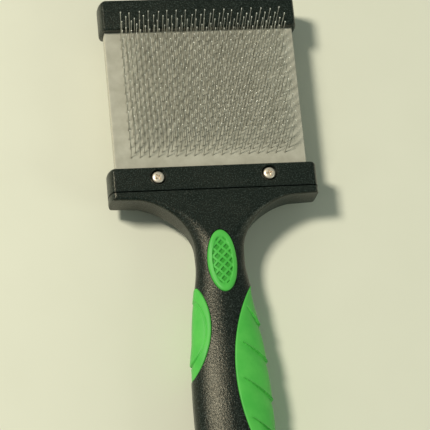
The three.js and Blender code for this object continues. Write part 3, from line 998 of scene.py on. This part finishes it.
def wire(line, radii, sides=8):
    """A round wire along a line, with a domed tip: its points and faces, counted from 0."""
    line = np.array(line, float)
    radii = np.array(radii, float)
    along = np.gradient(line, axis=0)
    along /= np.linalg.norm(along, axis=1)[:, None]
    across = np.cross(along, (1.0, 0.0, 0.0))
    across /= np.linalg.norm(across, axis=1)[:, None]
    third = np.cross(along, across)
    angle = np.linspace(0, 2 * math.pi, sides, endpoint=False)
    spokes = across[:, None] * np.cos(angle)[:, None] + third[:, None] * np.sin(angle)[:, None]
    points = (line[:, None] + radii[:, None, None] * spokes).reshape(-1, 3)
    last = radii[-1]
    dome = line[-1] + along[-1] * last * 0.5 + 0.62 * last * spokes[-1]
    points = np.vstack([points, dome, line[:1], line[-1:] + along[-1:] * last * 0.7])
    rows = len(line) + 1
    faces = grid_faces(rows, sides, True)
    foot, top = rows * sides, rows * sides + 1
    for side in range(sides):
        following = (side + 1) % sides
        faces.append((foot, following, side))
        faces.append((top, foot - sides + side, foot - sides + following))
    return points, faces


def pin_field(name, side, seed):
    """Every wire pin of one face, as one piece, with its shafts marked apart from the tips, which the
    material paints bright as a painted glint.
    """
    dice = random.Random(seed)
    radii = [PIN_RADIUS] * 7 + [PIN_TIP_RADIUS] * 2
    points, faces = [], []
    for x, y in pin_places():
        pin_points, pin_faces = wire(pin_line(x, y, side, dice), radii)
        faces += [tuple(index + len(points) for index in face) for face in pin_faces]
        points += pin_points.tolist()
    pins = piece(name, points, faces, STEEL, 60)
    # Shafts get 1 and tips 0; the material paints the tips bright as a painted glint.
    mark_painted_light(pins, step_up(PIN_TOP - side * local_points(pins)[:, 2], 0.6, 1.1))
    return pins


# ---- Putting it together --------------------------------------------------------------------


def bend_with_head(obj):
    """Bakes the piece's placing into its mesh."""
    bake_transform(obj)


def build_handle():
    """The handle with its tongue, and the soft inlays in their pockets."""
    body = handle()
    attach(body, "handle")
    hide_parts("handle_core")
    held = tongue()
    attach(held, "handle")
    soft = [
        (thumb_pad("front_thumb_inlay", 1), "front_thumb_pad"),
        (thumb_pad("rear_thumb_inlay", -1), "rear_thumb_pad"),
        (grip_shell("palm_inlay", palm_edge, -1, palm_lift, 240, 140, 1.6, GREEN), "palm_grip"),
        (grip_shell("finger_inlay", finger_edge, 1, finger_lift, 380, 170, 2.6, GREEN), "finger_grip"),
    ]
    for obj, node in soft:
        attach(obj, "handle")
        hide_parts(node)


def build_clamp():
    """The bars, screws and nuts, all of them fixed to the handle."""
    parts = [
        (clamp_bar("front_bar", 1), "front_clamp_bar", "black_plastic"),
        (clamp_bar("rear_bar", -1), "rear_clamp_bar", "black_plastic"),
        (clamp_screw("left_screw", -SCREW_X, 38), "left_clamp_screw", "screw_steel"),
        (clamp_screw("right_screw", SCREW_X, 12), "right_clamp_screw", "screw_steel"),
        (clamp_nut("left_nut", -SCREW_X), "left_clamp_nut", "screw_steel"),
        (clamp_nut("right_nut", SCREW_X), "right_clamp_nut", "screw_steel"),
    ]
    for obj, node, slot in parts:
        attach(obj, "handle")
        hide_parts(node)


def build_blade():
    """The five layers of the blade and the pins of both faces."""
    layers = [
        (sheet_piece("core_sheet", CORE_START, -CORE_HALF_THICKNESS, CORE_HALF_THICKNESS, FOAM),
         "flex_core", "foam_rubber"),
        (sheet_piece("front_plate", BLADE_START, PLATE_INNER, PLATE_OUTER, WHITE),
         "front_backing_plate", "white_plastic"),
        (sheet_piece("rear_plate", BLADE_START, -PLATE_OUTER, -PLATE_INNER, WHITE),
         "rear_backing_plate", "white_plastic"),
        (pin_cloth("front_cloth", 1), "front_pin_cloth", "grey_cloth"),
        (pin_cloth("rear_cloth", -1), "rear_pin_cloth", "grey_cloth"),
    ]
    for obj, node, slot in layers:
        bend_with_head(obj)
        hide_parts(node)
    pins = [pin_field("front_pins", 1, 11), pin_field("rear_pins", -1, 12)]
    for obj in pins:
        bend_with_head(obj)


def build_cap():
    for name, side, node in (("front_cap", 1, "front_cap_shell"), ("rear_cap", -1, "rear_cap_shell")):
        shell = cap_shell(name, side)
        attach(shell, "head")
        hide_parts(node)


def dress_cad_nodes():
    """The dowels stay as CAD made them, out of sight in the cap."""
    for node in ("left_cap_dowel", "right_cap_dowel"):
        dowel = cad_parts[node]
        dowel.data.materials.clear()
        dowel.data.materials.append(WHITE)


# ---- Camera, light and floor ----------------------------------------------------------------

def add_camera():
    """The view from above the handle's end, a little to the left, and slightly rolled."""
    yaw, pitch, roll = math.radians(10.063), math.radians(-18.661), math.radians(5.621)
    distance = 1280.8
    offset_x, offset_y = -0.815, 9.717
    turn = Matrix.Rotation(roll, 3, "Z") @ Matrix.Rotation(pitch, 3, "X") @ Matrix.Rotation(yaw, 3, "Y")
    back = turn.transposed()
    place = back @ Vector((-offset_x, -offset_y, distance))
    data = bpy.data.cameras.new("camera")
    data.sensor_width = 36
    data.lens = 230.1
    data.clip_start = 0.1
    data.clip_end = 20
    camera = bpy.data.objects.new("camera", data)
    camera.matrix_world = Matrix.Translation(in_frame([tuple(place)])[0]) @ back.to_4x4()
    bpy.context.scene.collection.objects.link(camera)
    bpy.context.scene.camera = camera


def area_light(name, place, target, size, power, color):
    data = bpy.data.lights.new(name, "AREA")
    data.shape = "RECTANGLE"
    data.size, data.size_y = size
    data.energy = power
    data.color = color
    light = bpy.data.objects.new(name, data)
    light.location = place
    light.rotation_euler = (Vector(target) - Vector(place)).to_track_quat("-Z", "Y").to_euler()
    bpy.context.scene.collection.objects.link(light)


def add_lights():
    area_light("key", (-0.83, 0.35, 1.32), (0, 0, 0), (0.27, 0.27), 20.5, (1, 0.95, 0.8))
    area_light("side", (-0.9, -0.45, 0.45), (0, 0, 0), (0.3, 0.5), 0.7, (1, 1, 0.9))
    area_light("fill", (0.9, -0.5, 0.5), (0, 0, 0), (0.5, 0.5), 2.4, (0.9, 1, 0.85))
    world = bpy.data.worlds.new("studio")
    world.use_nodes = True
    world.node_tree.nodes["Background"].inputs["Color"].default_value = (0.85, 1, 0.9, 1)
    world.node_tree.nodes["Background"].inputs["Strength"].default_value = 0.18
    bpy.context.scene.world = world
    bpy.context.scene.view_settings.view_transform = "Standard"


def add_floor():
    half = 3.0
    mesh = bpy.data.meshes.new("floor")
    corners = [(-half, -half, 0), (half, -half, 0), (half, half, 0), (-half, half, 0)]
    mesh.from_pydata(corners, [], [(0, 1, 2, 3)])
    material, tree, shader, place = new_material("floor_paper", (0.8, 0.8, 0.68), 0.9)
    fleck = noise(tree, place, 40, 2.0)
    flecked = mixed_color(tree, fleck, (0.78, 0.78, 0.66), (0.82, 0.82, 0.7))
    tree.links.new(flecked, shader.inputs["Base Color"])
    mesh.materials.append(material)
    floor = bpy.data.objects.new("floor", mesh)
    bpy.context.scene.collection.objects.link(floor)


add_camera()
add_lights()
add_floor()
build_handle()
build_clamp()
build_blade()
build_cap()
dress_cad_nodes()
